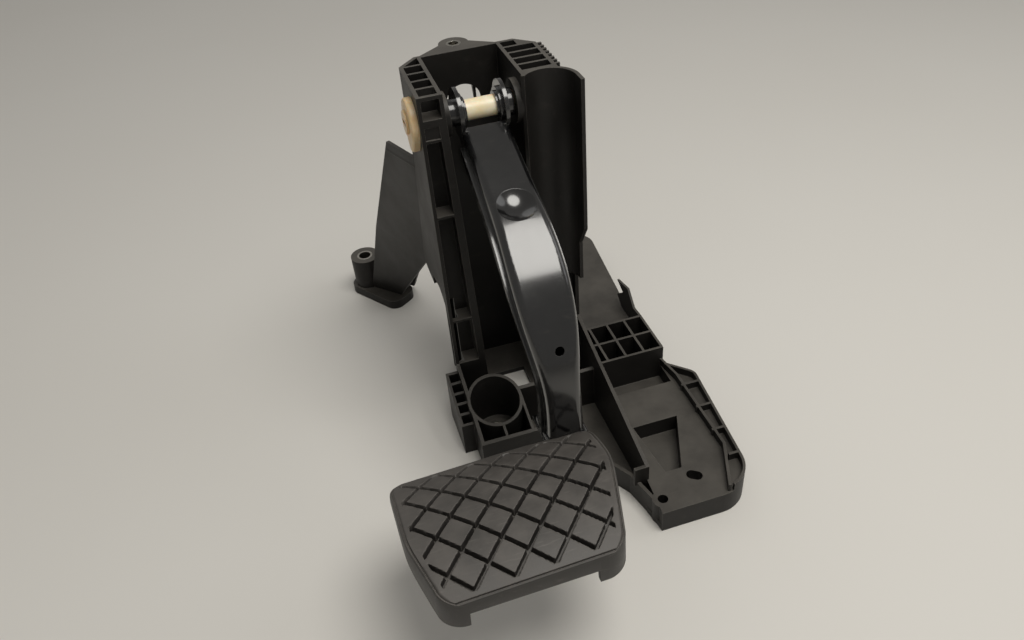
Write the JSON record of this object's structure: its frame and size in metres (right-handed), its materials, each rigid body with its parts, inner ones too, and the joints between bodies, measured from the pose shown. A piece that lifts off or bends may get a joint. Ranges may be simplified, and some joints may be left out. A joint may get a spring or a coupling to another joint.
{
  "type": "brake pedal",
  "caption": "Car brake pedal: a hollow pressed-steel arm with a rubber pad swings on a pin between the towers of a ribbed plastic bracket that bolts to the bulkhead.",
  "frame": {"origin": "centre of the lower stud hole on the bulkhead plane", "axes": "+X along the pivot pin, to the tray's side; +Y from the pad's end to the pivot's end; +Z away from the bulkhead, towards the driver"},
  "size_m": [0.2398, 0.4279, 0.258],
  "materials": {
    "bracket_plastic": "satin moulded, glass-filled",
    "plated_steel": "zinc plated",
    "pin_plastic": "natural cream",
    "bush_plastic": "smooth",
    "arm_coat": "satin black dip coat",
    "pad_rubber": "matt, grooved"
  },
  "bodies": {
    "bracket": {"bracket": "bracket_plastic", "stud_sleeve": "plated_steel", "foot_sleeve": "plated_steel", "rear_sleeve": "plated_steel", "lug_sleeve": "plated_steel", "pivot_pin": "pin_plastic", "pin_clip": "plated_steel"},
    "pedal": {"arm_front_shell": "arm_coat", "arm_rear_shell": "arm_coat", "rod_socket": "pin_plastic", "left_bush": "bush_plastic", "right_bush": "bush_plastic", "foot_plate": "arm_coat", "pedal_pad": "pad_rubber"}
  },
  "joints": [
    {"name": "pedal_pivot", "type": "hinge", "parent": "bracket", "child": "pedal", "pos_m": [0.022, 0.05, 0.237], "axis": [-1, 0, 0], "range_deg": [0, 30]}
  ]
}
